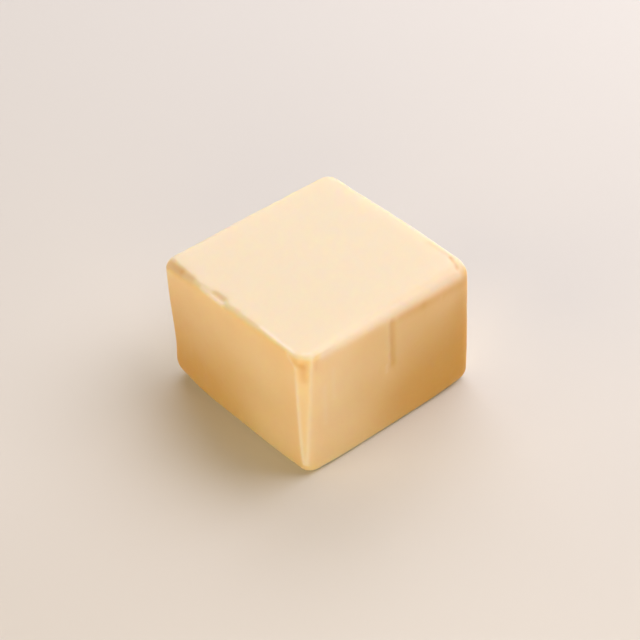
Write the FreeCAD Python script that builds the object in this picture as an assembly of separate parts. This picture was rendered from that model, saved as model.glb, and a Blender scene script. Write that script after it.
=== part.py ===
import FreeCAD, Part
import math
import os
from FreeCAD import Vector

# A piece of butter, about half of a 250 g block, just out of its wrapper.
# It is one soft, solid piece. Its edges are rounded unevenly, and the wrapper has left a fold, a crease,
# two seams, small dents and raised rims in its skin.
# Millimetres. X runs along the front, Y towards the back, Z up. The origin is the middle of the base.

# Overall sizes
LENGTH = 59.0
WIDTH = 58.0
HEIGHT = 40.0

# Corners and sides run counter-clockwise, seen from above. Each side starts at the corner of its
# own place in the list.
CORNERS = ("front_left", "front_right", "back_right", "back_left")
SIDES = ("front", "right", "back", "left")

# Rounding of the upright edges
UPRIGHT_RADIUS = {"front_left": 3.0, "front_right": 3.4, "back_right": 3.2, "back_left": 2.6}

# Rounding of the top edge, at the corners and half way along the sides
CROWN_AT_CORNER = {"front_left": 1.8, "front_right": 4.0, "back_right": 2.2, "back_left": 2.5}
CROWN_AT_MIDDLE = {"front": 2.8, "right": 1.5, "back": 1.7, "left": 2.0}
CROWN_SPREAD = 1

# Rounding of the bottom edge. The corners are worn, each over a short stretch.
FOOT_AT_CORNER = {"front_left": 3.2, "front_right": 3.6, "back_right": 3.2, "back_left": 5.6}
FOOT_AT_MIDDLE = {"front": 1.7, "right": 1.9, "back": 1.7, "left": 1.8}
FOOT_SPREAD = 4

# The flat top lies this far inside the sides, and its corners are rounded.
TOP_INSET = 10.0
TOP_RADIUS = 2.0
# The flat base lies this far inside the rounding of the bottom edge.
BASE_INSET = 1.5

# The fold where the wrapper met in the middle of the front: a slit with a low ridge beside it, and
# the level crease that runs from its top to the right, under the rounded edge
FOLD_PLACE = 0.3
FOLD_BELOW_TOP = 3.2
FOLD_LENGTH = 16.0
FOLD_WIDTH = 1.2
FOLD_DEPTH = 0.5
FOLD_RIDGE_HEIGHT = 0.2
FOLD_RIDGE_OFFSET = -2.0
CREASE_OFFSET = 2.5
CREASE_LENGTH = 10.0
CREASE_BELOW_TOP = 4.0
CREASE_WIDTH = 1.0
CREASE_DEPTH = 0.35

# The two upright seams beside the front left edge, which draw closer downwards, and the tuck between
# their tops. The left seam slants in from the top edge. An inset is a distance from the corner.
SEAM_INSET = 2.8
SEAM_FOOT_INSET = {"left": 2.0, "front": 0.6}
SEAM_WIDTH = 0.8
SEAM_HEIGHT = 0.45
SEAM_BELOW_TOP = {"left": 3.5, "front": 1.2}
SEAM_ABOVE_BASE = 5.0
SLANT_INSET = 5.8
SLANT_BELOW_TOP = 1.0
TUCK_BELOW_TOP = 2.0
TUCK_WIDTH = 1.8
TUCK_DEPTH = 0.7
TUCK_LENGTH = 4.5

# The left top edge, from the back: a notch at the corner, a dent with a lip outside it, and a raised rim
NOTCH_FROM_BACK = 2.2
NOTCH_LENGTH = 8.5
NOTCH_INSET = 1.0
NOTCH_WIDTH = 1.4
NOTCH_DEPTH = 0.9
DENT_FROM_FRONT = 36.7
DENT_LENGTH = 3.6
DENT_INSET = 1.4
DENT_WIDTH = 1.2
DENT_DEPTH = 0.65
LIP_FROM_FRONT = 41.3
LIP_LENGTH = 8.6
LIP_INSET = 0.5
LIP_WIDTH = 0.8
LIP_HEIGHT = 0.35
LEFT_RIM_FROM_FRONT = 5.0
LEFT_RIM_LENGTH = 13.0
LEFT_RIM_INSET = 0.9
LEFT_RIM_WIDTH = 0.7
LEFT_RIM_HEIGHT = 0.3

# The turned rim of the right top edge, with a groove inside it, near the front right corner
RIM_LENGTH = 20.0
RIM_WIDTH = 0.9
RIM_HEIGHT = 0.45
GROOVE_LENGTH = 14.0
GROOVE_INSET = 2.8
GROOVE_WIDTH = 0.8
GROOVE_DEPTH = 0.7

# Broad slumps, where the soft butter gave way: the top of the front right edge, the lower part of
# the back left edge, and the right top edge behind its rim
SLUMP_WIDTH = 6.0
SLUMP_DEPTH = 0.35

# Spacing of the skin's control points: fine at the marks, coarse elsewhere
FINE = 0.6
COARSE = 2.4
GROWTH = 3
ARC_STEPS = 6
DEGREE = 3
# The skin's rows of control points next to the flat base and the flat top bear no marks, and an
# edge that rises less than the flatness is level.
LEVEL_ROWS = 3
FLATNESS = 0.001

LEFT = -LENGTH / 2
RIGHT = LENGTH / 2
FRONT = -WIDTH / 2
BACK = WIDTH / 2
UP = Vector(0, 0, 1)
QUARTER_TURN = math.pi / 2


def smooth(share):
    """An even start and end between 0 and 1."""
    return share * share * (3 - 2 * share)


def around(at_corner, at_middle, spread, turn):
    """A size that passes through its corner and mid-side values. A turn of 1 is one side."""
    side = math.floor(turn) % 4
    along = turn - math.floor(turn)
    corner = CORNERS[side] if along < 0.5 else CORNERS[(side + 1) % 4]
    share = smooth(abs(2 * along - 1)) ** spread
    return at_middle[SIDES[side]] * (1 - share) + at_corner[corner] * share


def graded(length, spots):
    """Shares of a length, close together near the spots."""
    places = [0]
    while places[-1] < length:
        gaps = [max(FINE, abs(places[-1] - spot) / GROWTH) for spot in spots]
        places.append(places[-1] + min([COARSE, *gaps]))
    return [place / places[-1] for place in places]


def mark(start, end, width, height_at_start, height_at_end):
    """A ridge, or a groove if its heights are negative, along a line on the skin."""
    line = end - start

    def height(point):
        share = min(max((point - start).dot(line) / line.dot(line), 0), 1)
        apart = (point - start - line * share).Length
        height_here = height_at_start + (height_at_end - height_at_start) * share
        return height_here * math.exp(-2 * (apart / width) ** 2)

    return height


def fold_marks():
    """The fold in the middle of the front, and the crease beside its top."""
    top = Vector(FOLD_PLACE, FRONT, HEIGHT - FOLD_BELOW_TOP)
    bottom = top - UP * FOLD_LENGTH
    beside = Vector(FOLD_RIDGE_OFFSET, 0, 0)
    crease = Vector(FOLD_PLACE + CREASE_OFFSET, FRONT, HEIGHT - CREASE_BELOW_TOP)
    crease_end = crease + Vector(CREASE_LENGTH, 0, 0)
    return [
        mark(top, bottom, FOLD_WIDTH, -FOLD_DEPTH, -FOLD_DEPTH / 2),
        mark(top + beside, bottom + beside, FOLD_WIDTH, 0, FOLD_RIDGE_HEIGHT),
        mark(crease, crease_end, CREASE_WIDTH, -CREASE_DEPTH, 0),
    ]


def beside_edge(side, inset):
    """A place on the rounding of the front left edge, seen from above, on its left or its front side."""
    radius = UPRIGHT_RADIUS["front_left"]
    depth = radius - math.sqrt(radius**2 - max(radius - inset, 0) ** 2)
    if side == "left":
        return Vector(LEFT + depth, FRONT + inset, 0)
    return Vector(LEFT + inset, FRONT + depth, 0)


def seam_marks():
    """The seams on both sides of the front left edge, and the tuck between them."""
    marks = []
    for side, foot_inset in SEAM_FOOT_INSET.items():
        top = beside_edge(side, SEAM_INSET) + UP * (HEIGHT - SEAM_BELOW_TOP[side])
        foot = beside_edge(side, foot_inset) + UP * SEAM_ABOVE_BASE
        marks.append(mark(top, foot, SEAM_WIDTH, SEAM_HEIGHT, SEAM_HEIGHT / 2))
    slant = Vector(LEFT, FRONT + SLANT_INSET, HEIGHT - SLANT_BELOW_TOP)
    slant_end = beside_edge("left", SEAM_INSET) + UP * (HEIGHT - SEAM_BELOW_TOP["left"])
    marks.append(mark(slant, slant_end, SEAM_WIDTH, SEAM_HEIGHT, SEAM_HEIGHT / 8))
    middle = UPRIGHT_RADIUS["front_left"] * (1 - math.sqrt(0.5))
    tuck = beside_edge("left", middle) + UP * (HEIGHT - TUCK_BELOW_TOP)
    marks.append(mark(tuck, tuck - UP * TUCK_LENGTH, TUCK_WIDTH, -TUCK_DEPTH, 0))
    return marks


def dent_marks():
    """The notch, the dent with its lip and the raised rim, all along the left top edge."""
    notch = Vector(LEFT + NOTCH_INSET, BACK - NOTCH_FROM_BACK, HEIGHT - NOTCH_INSET / 2)
    dent = Vector(LEFT + DENT_INSET, FRONT + DENT_FROM_FRONT, HEIGHT - DENT_INSET / 4)
    lip = Vector(LEFT + LIP_INSET, FRONT + LIP_FROM_FRONT, HEIGHT - 2 * LIP_INSET)
    rim = Vector(LEFT + LEFT_RIM_INSET, FRONT + LEFT_RIM_FROM_FRONT, HEIGHT - LEFT_RIM_INSET / 2)
    along = Vector(0, 1, 0)
    return [
        mark(notch, notch - along * NOTCH_LENGTH, NOTCH_WIDTH, -NOTCH_DEPTH, -NOTCH_DEPTH / 4),
        mark(dent, dent - along * DENT_LENGTH, DENT_WIDTH, -DENT_DEPTH, -DENT_DEPTH),
        mark(lip, lip - along * LIP_LENGTH, LIP_WIDTH, LIP_HEIGHT, LIP_HEIGHT),
        mark(rim, rim + along * LEFT_RIM_LENGTH, LEFT_RIM_WIDTH, LEFT_RIM_HEIGHT, LEFT_RIM_HEIGHT / 2),
    ]


def rim_marks():
    """The turned rim at the front right corner of the top, and the groove that curls in to the front."""
    corner = Vector(RIGHT, FRONT, HEIGHT)
    rim_start = corner + Vector(-RIM_WIDTH / 2, RIM_LENGTH, 0)
    rim_end = corner + Vector(-GROOVE_INSET / 2, GROOVE_INSET, -GROOVE_DEPTH / 2)
    groove_start = corner + Vector(-GROOVE_INSET, GROOVE_LENGTH, 0)
    groove_bend = corner + Vector(-GROOVE_INSET, 2 * GROOVE_INSET, -GROOVE_DEPTH / 2)
    groove_end = corner + Vector(-1.6 * GROOVE_INSET, GROOVE_INSET / 2, -GROOVE_DEPTH)
    return [
        mark(rim_start, rim_end, RIM_WIDTH, 0, RIM_HEIGHT),
        mark(groove_start, groove_bend, GROOVE_WIDTH, -GROOVE_DEPTH / 4, -GROOVE_DEPTH / 2),
        mark(groove_bend, groove_end, GROOVE_WIDTH, -GROOVE_DEPTH, -GROOVE_DEPTH),
    ]


def slump_marks():
    """Broad shallow hollows in two upright edges and in the right top edge."""
    front_right = Vector(RIGHT, FRONT, HEIGHT)
    back_left = Vector(LEFT, BACK, HEIGHT / 2)
    right_top = Vector(RIGHT, FRONT + RIM_LENGTH + SLUMP_WIDTH, HEIGHT)
    right_top_end = Vector(RIGHT, BACK - 2 * SLUMP_WIDTH, HEIGHT)
    return [
        mark(front_right, front_right - UP * HEIGHT / 3, SLUMP_WIDTH, -SLUMP_DEPTH, -SLUMP_DEPTH / 2),
        mark(back_left, back_left - UP * HEIGHT / 5, SLUMP_WIDTH, -SLUMP_DEPTH / 2, -SLUMP_DEPTH),
        mark(right_top, right_top_end, SLUMP_WIDTH / 2, -SLUMP_DEPTH / 2, -SLUMP_DEPTH / 2),
    ]


MARKS = fold_marks() + seam_marks() + dent_marks() + rim_marks() + slump_marks()

# Where the control points stand along each side, up the wall and in across the top, as shares
ALONG_SIDES = [
    graded(LENGTH, (SEAM_INSET, LENGTH / 2 + FOLD_PLACE, LENGTH - GROOVE_INSET)),
    graded(WIDTH, (GROOVE_INSET,)),
    graded(LENGTH, ()),
    graded(WIDTH, (NOTCH_FROM_BACK, WIDTH - DENT_FROM_FRONT, WIDTH - SEAM_INSET)),
]
UP_THE_WALL = graded(HEIGHT, (HEIGHT - TUCK_BELOW_TOP,))
ACROSS_THE_TOP = graded(TOP_INSET, (GROOVE_WIDTH,))


def outline(inset, radius_at):
    """Points round a rectangle with rounded corners, each with the way it faces and its turn.

    They start half way round the front left corner.
    """
    starts = (Vector(LEFT, FRONT, 0), Vector(RIGHT, FRONT, 0), Vector(RIGHT, BACK, 0), Vector(LEFT, BACK, 0))
    points = []
    for side, start in enumerate(starts):
        run = starts[(side + 1) % 4] - start
        length = run.Length
        run.normalize()
        facing = run.cross(UP)
        radius = radius_at[CORNERS[(side + 1) % 4]]
        first = inset + radius_at[CORNERS[side]]
        last = length - inset - radius
        for share in ALONG_SIDES[side]:
            along = first + (last - first) * share
            points.append((start + run * along - facing * inset, facing, side + along / length))
        centre = start + run * last - facing * (inset + radius)
        for step in range(1, ARC_STEPS):
            share = step / ARC_STEPS
            way = facing * math.cos(QUARTER_TURN * share) + run * math.sin(QUARTER_TURN * share)
            points.append((centre + way * radius, way, side + (last + inset + 2 * radius * share) / length))
    half = ARC_STEPS // 2
    return points[-half:] + points[:-half]


def profile(wall, facing, turn, top):
    """Control points from the base up the wall and in to the flat top, each with the way it faces."""
    crown = around(CROWN_AT_CORNER, CROWN_AT_MIDDLE, CROWN_SPREAD, turn)
    foot = around(FOOT_AT_CORNER, FOOT_AT_MIDDLE, FOOT_SPREAD, turn)
    depth = (top - wall).Length
    inward = (top - wall).normalize()
    arc = [QUARTER_TURN * step / ARC_STEPS for step in range(ARC_STEPS + 1)]
    points = [(wall + inward * (foot + BASE_INSET), -UP)]
    for angle in arc:
        way = facing * math.sin(angle) - UP * math.cos(angle)
        points.append((wall + inward * foot * (1 - math.sin(angle)) + UP * foot * (1 - math.cos(angle)), way))
    for share in UP_THE_WALL[1:-1]:
        points.append((wall + UP * (foot + (HEIGHT - crown - foot) * share), facing))
    for angle in arc:
        way = facing * math.cos(angle) + UP * math.sin(angle)
        height = HEIGHT - crown * (1 - math.sin(angle))
        points.append((wall + inward * crown * (1 - math.cos(angle)) + UP * height, way))
    for share in ACROSS_THE_TOP[1:]:
        points.append((wall + inward * (crown + (depth - crown) * share) + UP * HEIGHT, UP))
    return points


def pressed(rows):
    """The rows with the marks pressed into them."""
    marked = range(LEVEL_ROWS, len(rows) - LEVEL_ROWS)
    return [
        point + way * sum(height(point) for height in MARKS) if index in marked else point
        for index, (point, way) in enumerate(rows)
    ]


def skin():
    """The butter's skin from the flat base to the flat top: one smooth surface, cut into four sides."""
    walls = outline(0, UPRIGHT_RADIUS)
    tops = outline(TOP_INSET, dict.fromkeys(CORNERS, TOP_RADIUS))
    poles = [pressed(profile(*wall, top)) for wall, (top, _, _) in zip(walls, tops)]
    rounds = len(poles)
    spans = len(poles[0]) - DEGREE
    surface = Part.BSplineSurface()
    surface.buildFromPolesMultsKnots(
        poles,
        [1] * (rounds + 1),
        [DEGREE + 1] + [1] * (spans - 1) + [DEGREE + 1],
        list(range(rounds + 1)),
        list(range(spans + 1)),
        True,
        False,
        DEGREE,
        DEGREE,
    )
    sides = []
    corner = 0
    for places in ALONG_SIDES:
        next_corner = corner + len(places) + ARC_STEPS - 1
        side = surface.copy()
        side.segment(corner, next_corner, 0, spans)
        sides.append(side.toShape())
        corner = next_corner
    return sides


def butter():
    """The skin, closed by the flat base and the flat top."""
    sides = skin()
    level = [edge for side in sides for edge in side.Edges if edge.BoundBox.ZLength < FLATNESS]
    base = [edge for edge in level if edge.CenterOfMass.z < HEIGHT / 2]
    top = [edge for edge in level if edge.CenterOfMass.z > HEIGHT / 2]
    flats = [Part.Face(Part.Wire(Part.sortEdges(ring)[0])) for ring in (base, top)]
    shell = Part.Shell(sides + flats)
    shell.sewShape()
    return Part.Solid(shell)


os.makedirs("parts", exist_ok=True)
block = butter()
print("valid", block.isValid(), "volume", round(block.Volume), "box", block.BoundBox)
block.exportStep("parts/butter_block.step")
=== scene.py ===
"""A piece of butter, half of a 250 g block, on a pale floor under soft studio light."""
import math
import bpy
import numpy as np
from mathutils import Matrix, Vector, noise

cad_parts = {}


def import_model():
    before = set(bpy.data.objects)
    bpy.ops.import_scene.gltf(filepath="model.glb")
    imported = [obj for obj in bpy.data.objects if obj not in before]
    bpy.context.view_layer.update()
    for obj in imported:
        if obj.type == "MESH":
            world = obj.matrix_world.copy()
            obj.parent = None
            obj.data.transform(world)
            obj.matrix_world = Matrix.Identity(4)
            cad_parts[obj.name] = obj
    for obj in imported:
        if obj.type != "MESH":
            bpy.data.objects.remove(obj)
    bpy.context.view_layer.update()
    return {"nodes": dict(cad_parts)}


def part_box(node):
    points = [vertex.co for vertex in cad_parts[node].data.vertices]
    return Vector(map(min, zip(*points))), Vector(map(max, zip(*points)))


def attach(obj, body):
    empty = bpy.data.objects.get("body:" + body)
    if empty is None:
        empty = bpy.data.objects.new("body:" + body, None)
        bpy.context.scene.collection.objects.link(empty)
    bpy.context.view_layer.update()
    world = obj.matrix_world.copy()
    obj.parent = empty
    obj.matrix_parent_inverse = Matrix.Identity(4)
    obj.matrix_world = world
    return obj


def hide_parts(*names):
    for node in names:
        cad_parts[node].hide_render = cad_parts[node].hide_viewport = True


# The scene is in metres. The marks in the butter's skin are placed and sized in millimetres.
MM = 0.001

# The butter's mesh: how fine it is, and how often and how much it is smoothed after the remesh
VOXEL = 0.42 * MM
SMOOTH_PASSES = 3
SMOOTH_SHARE = 0.5

# The soft noise in the skin: its gain, how far one seed is from the next, and each layer's size and seed
NOISE_GAIN = 1.6
NOISE_STEP = 17.3
WAVES = ((17, 17, 17), 1)
FINE_STREAKS = ((2.2, 2.2, 16), 2)
BROAD_STREAKS = ((6, 6, 26), 3)
NICKS = ((3.4, 3.4, 3.4), 4)
GRAIN = ((1.3, 1.3, 1.3), 5)
GOLDEN_PATCHES = ((15, 15, 11), 6)

# How far the noise moves the skin, and how far round the top edge the nicks reach
WAVE_HEIGHT = 0.01
WAVE_HEIGHT_ON_SIDES = 0.14
FINE_STREAK_HEIGHT = 0.03
BROAD_STREAK_HEIGHT = 0.05
NICK_HEIGHT = 0.06
NICK_HEIGHT_ON_LEFT = 0.09
NICK_REACH = 2.6
GRAIN_HEIGHT = 0.02

# How far the marks move the skin
SEAM_HEIGHT = 0.10
RIM_HEIGHT = 0.16
CREASE_DEPTH = 0.12

# The pits: how many are tried, their smallest and largest size, and their depth for their size
PIT_SEED = 7
PIT_COUNT = 30
PIT_SIZES = (0.5, 1.1)
PIT_DEPTH = 0.16

# How much paler the seams and rims are, from 0 to 1: a painted highlight on their ridges
PAINTED_RIDGE_HIGHLIGHT = 0.8

# How much painted shade the butter gets, as a deeper yellow: low on the left and the front, at their far
# corners (on the left a painted glow of light through its back edge), along the front, on all sides, in
# random patches of its own tone, and in the creases
PAINTED_SHADE_AND_PATCH_GAIN = 1.15
PAINTED_SHADE_LOW_ON_LEFT = 0.70
PAINTED_SHADE_LOW_ON_FRONT = 1.05
PAINTED_GLOW_AT_LEFT_EDGE = 0.10
PAINTED_SHADE_AT_RIGHT_EDGE = 0.25
PAINTED_SHADE_ALONG_FRONT = 0.18
PAINTED_SHADE_ON_SIDES = 0.08
PAINTED_SHADE_LOW_ON_SIDES = 0.06
GOLDEN_IN_PATCHES = 0.07
PAINTED_SHADE_IN_CREASES = 0.36

# The butter's colours: its sides, their cloudy patches, its top's painted sheen, its painted shade (also used
# for its deeper yellow patches), and the painted highlights on its seams, rims and edges and its pale streaks
BUTTER = (0.90, 0.72, 0.42)
BUTTER_CLOUDY = (0.91, 0.74, 0.46)
BUTTER_TOP_PAINTED_SHEEN = (0.81, 0.74, 0.56)
BUTTER_PAINTED_SHADE_AND_PATCHES = (0.62, 0.33, 0.025)
BUTTER_PAINTED_HIGHLIGHT_AND_STREAK = (0.91, 0.81, 0.70)

# The butter's material: its noises' features in a metre and their detail, its roughness from its glossiest to
# its dullest parts, its bump, and how far red, green and blue light go in it
CLOUDS = (60, 3)
GLOSS = (240, 4)
FINE_BUMPS = (1500, 4)
GLOSS_STRETCH = (1, 1, 0.4)
NOISE_CONTRAST = (0.3, 0.7)
ROUGHNESS = (0.40, 0.47)
BUMP_STRENGTH = 0.08
BUMP_HEIGHT = 0.1 * MM
LIGHT_REACH = (6, 4, 1.5)
REFRACTION = 1.46

# The floor
FLOOR_REACH = 3.0
FLOOR_COLOUR = (0.70, 0.71, 0.70)
FLOOR_ROUGHNESS = 0.7

# The lights: each one's turn round the butter and height in degrees, distance and size in metres, power in
# watts, and colour
COOL_WHITE = (1.0, 0.91, 0.91)
WARM_WHITE = (1.0, 0.93, 0.86)
LIGHTS = {
    "sheen": (141, 40, 1.2, 0.9, 7.1, COOL_WHITE),
    "window": (62, 54, 0.9, 0.7, 6.2, COOL_WHITE),
    "rim": (104, 12, 0.8, 0.4, 1.8, WARM_WHITE),
    "behind": (-172, 10, 0.7, 0.4, 0.7, WARM_WHITE),
    "near": (-36, 16, 0.40, 0.25, 0.62, (1.0, 0.76, 0.43)),
    "left": (-100, 25, 0.8, 0.5, 2.3, (1.0, 0.75, 0.44)),
}
SKY_COLOUR = (1.0, 0.96, 0.90)
SKY_STRENGTH = 0.02

# The camera: where it stands round the butter, in degrees, how far from the point it aims at, and its lens
VIEW_TURN = -38.97
VIEW_DOWN = 39.70
VIEW_ROLL = -2.74
VIEW_DISTANCE = 0.4617
AIM_BELOW_TOP = 15.75 * MM
AIM_ASIDE = 0.88 * MM
LENS = 98.44
SENSOR = 36.0
CLIP_START = 0.01

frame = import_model()
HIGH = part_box("butter_block")[1]


# ---------------------------------------------------------------- the butter's mesh

def coordinates(mesh):
    """The mesh's points in millimetres and their normals, as arrays."""
    points = np.empty(len(mesh.vertices) * 3, np.float32)
    mesh.vertices.foreach_get("co", points)
    normals = np.empty(len(mesh.vertices) * 3, np.float32)
    mesh.vertex_normals.foreach_get("vector", normals)
    return points.reshape(-1, 3).astype(float) / MM, normals.reshape(-1, 3).astype(float)


def remeshed(name, node):
    """A fine, even copy of a CAD node."""
    piece = bpy.data.objects.new(name, frame["nodes"][node].data.copy())
    bpy.context.scene.collection.objects.link(piece)
    bpy.context.view_layer.objects.active = piece
    remesh = piece.modifiers.new("remesh", "REMESH")
    remesh.mode = "VOXEL"
    remesh.voxel_size = VOXEL
    remesh.use_smooth_shade = True
    smooth = piece.modifiers.new("smooth", "SMOOTH")
    smooth.iterations = SMOOTH_PASSES
    smooth.factor = SMOOTH_SHARE
    evaluated = piece.evaluated_get(bpy.context.evaluated_depsgraph_get())
    shaped = bpy.data.meshes.new_from_object(evaluated)
    piece.modifiers.clear()
    piece.data = shaped
    return piece


# ---------------------------------------------------------------- marks in its skin

# The butter's sides in millimetres. It is centred on its base, and nothing stands out on its right or back.
RIGHT, BACK, TOP = (value / MM for value in HIGH)
LEFT, FRONT, BASE = -RIGHT, -BACK, 0

# The marks are lines on the skin. Each has its strength, its width, and the two points it runs between.
# First come the two seams beside the front left edge. The left one slants in from the top edge.
SEAM_BEND = (LEFT, FRONT + 2.8, TOP - 3.5)
LEFT_SEAM = {
    "left": (1, 0.8, SEAM_BEND, (LEFT + 0.2, FRONT + 2.0, BASE + 4)),
}
OTHER_SEAMS = {
    "slant": (0.6, 0.7, (LEFT + 0.1, FRONT + 5.8, TOP - 1.0), SEAM_BEND),
    "front": (0.7, 0.8, (LEFT + 2.8, FRONT, TOP - 1.2), (LEFT + 0.6, FRONT + 1.2, BASE + 4)),
}

# The thin raised rim and the lip along the left top edge
RIMS = {
    "rim": (1, 0.7, (LEFT + 0.9, FRONT + 4.5, TOP - 0.2), (LEFT + 1.2, FRONT + 18, TOP - 0.1)),
    "lip": (1, 0.7, (LEFT + 0.3, FRONT + 32.5, TOP - 1.0), (LEFT + 0.5, FRONT + 41.5, TOP - 0.8)),
}

# Parts that are only paler: painted highlights round the front, on the top's edges, on the front right edge,
# between the seams and as a glint by the near corner, and pale streaks and a spot on the front
PAINTED_HIGHLIGHTS_AND_STREAKS = {
    "front top edge": (0.9, 2.4, (LEFT + 7, FRONT + 0.5, TOP - 1.1), (RIGHT - 5, FRONT + 0.8, TOP - 1.7)),
    "right top edge": (0.4, 1.3, (RIGHT - 1.2, FRONT + 3, TOP - 0.9), (RIGHT - 0.4, BACK - 4, TOP - 0.4)),
    "upper streak": (0.15, 1.1, (LEFT + 9.8, FRONT, TOP - 8), (LEFT + 9.6, FRONT, TOP - 17)),
    "lower streak": (0.15, 1.2, (LEFT + 6.6, FRONT, TOP - 12), (LEFT + 6.4, FRONT, TOP - 24)),
    "spot by the fold": (0.15, 0.9, (-1.8, FRONT, TOP - 17.5), (-1.8, FRONT, TOP - 19.5)),
    "glint": (0.7, 0.7, (LEFT + 2.6, FRONT + 2.6, TOP), (LEFT + 4.0, FRONT + 1.2, TOP)),
    "front right edge": (0.9, 1.0, (RIGHT - 0.7, FRONT + 1.1, TOP - 5), (RIGHT - 0.7, FRONT + 1.1, BASE + 4)),
    "between the seams": (0.25, 2.6, (LEFT + 0.8, FRONT + 0.8, TOP - 9), (LEFT + 0.6, FRONT + 0.6, BASE + 5)),
}

# Parts that are pressed in and get painted shade as a deeper yellow: the fold's slit and the creases by it,
# the tuck between the seams, the grooves at the front right corner, and the notch and the dent in the left
# top edge
CREASES = {
    "slit": (0.55, 1.6, (0.4, FRONT, TOP - 4.5), (0.4, FRONT, TOP - 18)),
    "level crease": (0.45, 2.2, (3.5, FRONT, TOP - 4.0), (11, FRONT, TOP - 4.2)),
    "under the edge": (0.4, 2.2, (12, FRONT, TOP - 4.3), (RIGHT - 1, FRONT, TOP - 5.2)),
    "tuck": (0.5, 1.3, (LEFT + 0.8, FRONT + 1.2, TOP - 2.8), (LEFT + 1.0, FRONT + 0.9, TOP - 7)),
    "tuck's left end": (0.5, 1.2, (LEFT + 0.2, FRONT + 3.6, TOP - 2.0), (LEFT + 0.9, FRONT + 0.9, TOP - 3.0)),
    "tuck's right end": (0.25, 1.0, (LEFT + 4.2, FRONT, TOP - 2.5), (LEFT + 4.2, FRONT, TOP - 4.5)),
    "groove": (1.2, 0.8, (RIGHT - 2.8, FRONT + 6, TOP - 0.5), (RIGHT - 4.5, FRONT + 1.6, TOP - 0.9)),
    "faint groove": (0.4, 1.7, (RIGHT - 2.6, FRONT + 14, TOP), (RIGHT - 2.6, FRONT + 8, TOP)),
    "notch": (1.1, 1.8, (LEFT + 0.5, BACK - 1.5, TOP - 1.0), (LEFT + 0.8, BACK - 7, TOP - 0.7)),
    "notch's end": (0.55, 1.4, (LEFT + 1.0, BACK - 8, TOP - 0.6), (LEFT + 1.0, BACK - 12, TOP - 0.5)),
    "dent": (0.45, 1.4, (LEFT + 1.4, FRONT + 37, TOP - 0.5), (LEFT + 1.4, FRONT + 33.5, TOP - 0.5)),
}


def field(points, size, seed):
    """Soft noise from -1 to 1 at each point. Its features are about as large as size, along X, Y and Z."""
    places = points / np.array(size) + seed * NOISE_STEP
    return np.array([noise.noise(place) for place in places.tolist()]) * NOISE_GAIN


def smooth_step(value, start, end):
    """0 where the value is at the start or before it, 1 at the end or past it, and soft in between."""
    share = np.clip((value - start) / (end - start), 0, 1)
    return share * share * (3 - 2 * share)


def bell(distance, width):
    """1 at no distance, falling softly to 0.14 at the width."""
    return np.exp(-2 * (distance / width) ** 2)


def along(points, start, end, width):
    """1 on the line from start to end, falling softly to 0.14 at the width to any side of it."""
    start = np.array(start, float)
    line = np.array(end, float) - start
    share = np.clip((points - start) @ line / (line @ line), 0, 1)
    return bell(np.linalg.norm(points - start - share[:, None] * line, axis=1), width)


def drawn(points, marks):
    """How strong the marks are at each point, all together."""
    return sum(strength * along(points, start, end, width) for strength, width, start, end in marks.values())


def insets(points):
    """How far each point is inside the left, right, front and back, and under the top."""
    inset = [points[:, 0] - LEFT, RIGHT - points[:, 0], points[:, 1] - FRONT, BACK - points[:, 1]]
    return np.stack(inset), TOP - points[:, 2]


def unevenness(points, normals):
    """Broad soft waves, upright streaks and a fine grain on the sides, and small nicks in the top edge."""
    from_sides, under_top = insets(points)
    on_sides = smooth_step(np.abs(normals[:, 2]), 0.8, 0.3)
    nicks = NICK_HEIGHT * bell(np.hypot(from_sides.min(0), under_top), NICK_REACH)
    nicks += NICK_HEIGHT_ON_LEFT * bell(np.hypot(from_sides[0], under_top), NICK_REACH)
    waves = WAVE_HEIGHT + WAVE_HEIGHT_ON_SIDES * on_sides
    streaks = FINE_STREAK_HEIGHT * field(points, *FINE_STREAKS)
    streaks += BROAD_STREAK_HEIGHT * field(points, *BROAD_STREAKS)
    grain = GRAIN_HEIGHT * field(points, *GRAIN)
    return waves * field(points, *WAVES) + nicks * field(points, *NICKS) + (streaks + grain) * on_sides


def seams(points):
    """The two sharp seams. The left one fades out towards its top."""
    fade = smooth_step(points[:, 2], TOP + 6, TOP - 12)
    return drawn(points, LEFT_SEAM) * fade + drawn(points, OTHER_SEAMS)


def pits(points, normals):
    """How deep the small pits at random places are. A pit that isn't in a side is left out."""
    generator = np.random.default_rng(PIT_SEED)
    depth = np.zeros(len(points))
    for index in generator.choice(len(points), PIT_COUNT, replace=False):
        size = generator.uniform(*PIT_SIZES)
        if abs(normals[index][2]) < 0.9 and TOP - 4 > points[index][2] > BASE + 3:
            depth += bell(np.linalg.norm(points - points[index], axis=1), size) * size * PIT_DEPTH
    return depth


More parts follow.
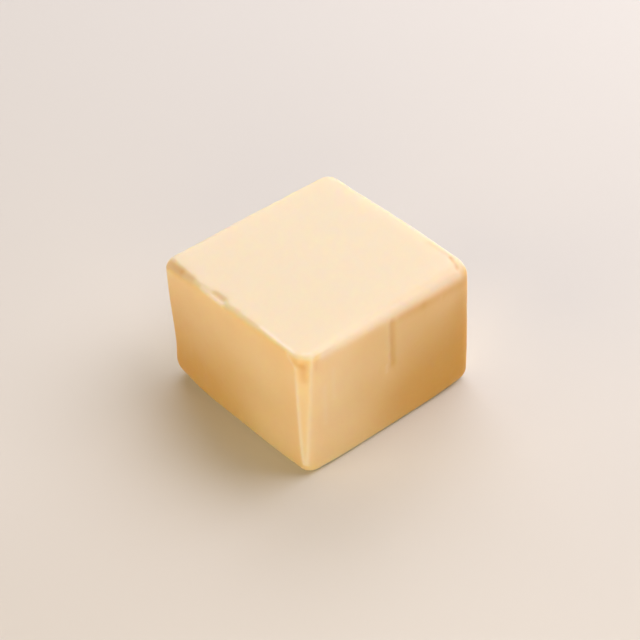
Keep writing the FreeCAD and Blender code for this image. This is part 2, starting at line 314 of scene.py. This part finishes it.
def painted_shade_and_patches(points, normals):
    """Painted shade as a deeper yellow: low on the left and the front away from the edge between them, along
    the front, by the right edge and a little on all sides, with a painted glow of light by the left face's
    back edge and random patches of the butter's own tone.
    """
    from_left, from_right, from_front, from_back = insets(points)[0]
    on_left, on_front = np.clip(-normals[:, :2], 0, 1).T
    on_sides = smooth_step(np.abs(normals[:, 2]), 0.75, 0.35)
    low = smooth_step(points[:, 2], TOP - 2, BASE + 4)
    low_and_far = low * smooth_step(np.hypot(from_left, from_front), 8, 60)
    # On the left: painted shade low and far from the front, and a painted glow of light by the back edge
    left = PAINTED_SHADE_LOW_ON_LEFT * low_and_far + PAINTED_GLOW_AT_LEFT_EDGE * low * bell(from_back, 8)
    # On the front: painted shade low and far from the left, by the right edge, and growing along the front
    front = PAINTED_SHADE_LOW_ON_FRONT * low_and_far + PAINTED_SHADE_AT_RIGHT_EDGE * bell(from_right, 9)
    front += PAINTED_SHADE_ALONG_FRONT * smooth_step(from_left, 6, 40)
    # On all sides: a little painted shade, more towards the base, and random patches of the butter's own
    # deeper tone
    patches = GOLDEN_IN_PATCHES * field(points, *GOLDEN_PATCHES)
    sides = PAINTED_SHADE_ON_SIDES + PAINTED_SHADE_LOW_ON_SIDES * low + patches
    return left * on_left + front * on_front + sides * on_sides


def set_attribute(mesh, name, values):
    mesh.attributes.new(name, "FLOAT", "POINT").data.foreach_set("value", values.astype(np.float32))


def add_marks(mesh):
    """Moves the skin in and out, and keeps where it faces up for the top's painted sheen, where it gets
    painted highlights and pale streaks, and where it gets painted shade and its own deeper yellow patches.
    """
    points, normals = coordinates(mesh)
    seam = seams(points)
    raised = drawn(points, RIMS)
    hollowed = drawn(points, CREASES)
    marks = SEAM_HEIGHT * seam + RIM_HEIGHT * raised - CREASE_DEPTH * hollowed - pits(points, normals)
    above_base = smooth_step(points[:, 2], BASE + 0.5, BASE + 4)
    height = (unevenness(points, normals) + marks) * above_base
    mesh.vertices.foreach_set("co", ((points + normals * height[:, None]) * MM).ravel())
    mesh.update()
    # Painted shade: a deeper yellow low on the sides, at their far corners and in the creases, with random
    # patches of the butter's own tone
    depth = PAINTED_SHADE_AND_PATCH_GAIN * np.clip(painted_shade_and_patches(points, normals) + PAINTED_SHADE_IN_CREASES * hollowed, 0, None)
    # Pale: painted highlights on the seams, rims and edges, and pale streaks
    pale = PAINTED_RIDGE_HIGHLIGHT * (seam + raised) + drawn(points, PAINTED_HIGHLIGHTS_AND_STREAKS)
    # Where it faces up it gets a paler colour, a painted sheen on the top
    set_attribute(mesh, "painted_sheen_on_top", smooth_step(normals[:, 2], 0.2, 0.8))
    set_attribute(mesh, "pale", np.clip(pale, 0, 1))
    set_attribute(mesh, "painted_shade_and_patches", depth / np.cbrt(1 + depth**3))


butter = remeshed("butter", "butter_block")
add_marks(butter.data)


# ---------------------------------------------------------------- materials

def new_material(name):
    """A new material and its Principled node."""
    material = bpy.data.materials.new(name)
    material.use_nodes = True
    return material, material.node_tree.nodes["Principled BSDF"]


def attribute(tree, name):
    node = tree.nodes.new("ShaderNodeAttribute")
    node.attribute_name = name
    return node.outputs["Fac"]


def mix_colour(tree, share, first, second):
    """A colour that goes from first to second with share. First and second are colours or nodes' outputs."""
    node = tree.nodes.new("ShaderNodeMix")
    node.data_type = "RGBA"
    tree.links.new(share, node.inputs["Factor"])
    for socket, colour in ((node.inputs["A"], first), (node.inputs["B"], second)):
        if isinstance(colour, tuple):
            socket.default_value = (*colour, 1)
        else:
            tree.links.new(colour, socket)
    return node.outputs["Result"]


def noise_texture(tree, scale, detail, stretch=(1, 1, 1)):
    """Noise over the butter, with scale features a metre, drawn out where stretch is under 1."""
    place = tree.nodes.new("ShaderNodeTexCoord")
    mapping = tree.nodes.new("ShaderNodeMapping")
    mapping.inputs["Scale"].default_value = stretch
    texture = tree.nodes.new("ShaderNodeTexNoise")
    texture.inputs["Scale"].default_value = scale
    texture.inputs["Detail"].default_value = detail
    tree.links.new(place.outputs["Object"], mapping.inputs["Vector"])
    tree.links.new(mapping.outputs["Vector"], texture.inputs["Vector"])
    return texture.outputs["Fac"]


def contrast(tree, source, start=0, end=1):
    """Spreads a noise's middle values over the values from start to end."""
    node = tree.nodes.new("ShaderNodeMapRange")
    node.interpolation_type = "SMOOTHSTEP"
    for name, value in zip(("From Min", "From Max", "To Min", "To Max"), (*NOISE_CONTRAST, start, end)):
        node.inputs[name].default_value = value
    tree.links.new(source, node.inputs["Value"])
    return node.outputs["Result"]


def butter_material():
    material, shader = new_material("butter")
    tree = material.node_tree
    colour = mix_colour(tree, contrast(tree, noise_texture(tree, *CLOUDS)), BUTTER, BUTTER_CLOUDY)
    # Tints for the top's painted sheen, the painted shade with its deeper patches, and the painted highlights
    # and pale streaks
    for name, tint in (("painted_sheen_on_top", BUTTER_TOP_PAINTED_SHEEN), ("painted_shade_and_patches", BUTTER_PAINTED_SHADE_AND_PATCHES), ("pale", BUTTER_PAINTED_HIGHLIGHT_AND_STREAK)):
        colour = mix_colour(tree, attribute(tree, name), colour, tint)
    tree.links.new(colour, shader.inputs["Base Color"])
    roughness = contrast(tree, noise_texture(tree, *GLOSS, GLOSS_STRETCH), *ROUGHNESS)
    tree.links.new(roughness, shader.inputs["Roughness"])
    bump = tree.nodes.new("ShaderNodeBump")
    bump.inputs["Strength"].default_value = BUMP_STRENGTH
    bump.inputs["Distance"].default_value = BUMP_HEIGHT
    tree.links.new(noise_texture(tree, *FINE_BUMPS), bump.inputs["Height"])
    tree.links.new(bump.outputs["Normal"], shader.inputs["Normal"])
    shader.inputs["Subsurface Weight"].default_value = 1
    shader.inputs["Subsurface Radius"].default_value = LIGHT_REACH
    shader.inputs["Subsurface Scale"].default_value = MM
    shader.inputs["IOR"].default_value = REFRACTION
    return material


butter.data.materials.clear()
butter.data.materials.append(butter_material())
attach(butter, "root")
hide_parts("butter_block")


# ---------------------------------------------------------------- floor, light and camera

def floor():
    mesh = bpy.data.meshes.new("floor")
    corners = [(x * FLOOR_REACH, y * FLOOR_REACH, 0) for x, y in ((-1, -1), (1, -1), (1, 1), (-1, 1))]
    mesh.from_pydata(corners, [], [(0, 1, 2, 3)])
    piece = bpy.data.objects.new("floor", mesh)
    bpy.context.scene.collection.objects.link(piece)
    material, shader = new_material("floor")
    shader.inputs["Base Color"].default_value = (*FLOOR_COLOUR, 1)
    shader.inputs["Roughness"].default_value = FLOOR_ROUGHNESS
    mesh.materials.append(material)


def direction(turn, up):
    """The way from the butter to something. The turn is in degrees from the front, and up above the floor."""
    turn, up = math.radians(turn), math.radians(up)
    return Vector((math.sin(turn) * math.cos(up), -math.cos(turn) * math.cos(up), math.sin(up)))


def softbox(name, turn, up, distance, size, power, colour):
    """A square area light that looks at the butter."""
    light = bpy.data.lights.new(name, "AREA")
    light.shape = "SQUARE"
    light.size = size
    light.energy = power
    light.color = colour
    lamp = bpy.data.objects.new(name, light)
    way = direction(turn, up)
    lamp.location = Vector((0, 0, HIGH.z / 2)) + way * distance
    lamp.rotation_euler = way.to_track_quat("Z", "Y").to_euler()
    lamp.visible_camera = False
    bpy.context.scene.collection.objects.link(lamp)


def camera():
    back = direction(VIEW_TURN, VIEW_DOWN)
    right = Vector((0, 0, 1)).cross(back).normalized()
    up = back.cross(right)
    roll = Matrix.Rotation(math.radians(VIEW_ROLL), 3, back)
    right, up = roll @ right, roll @ up
    top = Vector((0, 0, HIGH.z))
    aim = top + right * AIM_ASIDE - up * AIM_BELOW_TOP
    data = bpy.data.cameras.new("camera")
    data.lens = LENS
    data.sensor_width = SENSOR
    data.clip_start = CLIP_START
    piece = bpy.data.objects.new("camera", data)
    turn = Matrix((right, up, back)).transposed().to_4x4()
    piece.matrix_world = Matrix.Translation(aim + back * VIEW_DISTANCE) @ turn
    bpy.context.scene.collection.objects.link(piece)
    bpy.context.scene.camera = piece


def world():
    scene = bpy.context.scene
    scene.world = bpy.data.worlds.new("studio")
    scene.world.use_nodes = True
    background = scene.world.node_tree.nodes["Background"]
    background.inputs["Color"].default_value = (*SKY_COLOUR, 1)
    background.inputs["Strength"].default_value = SKY_STRENGTH
    scene.view_settings.view_transform = "Standard"


floor()
for name, light in LIGHTS.items():
    softbox(name, *light)
world()
camera()
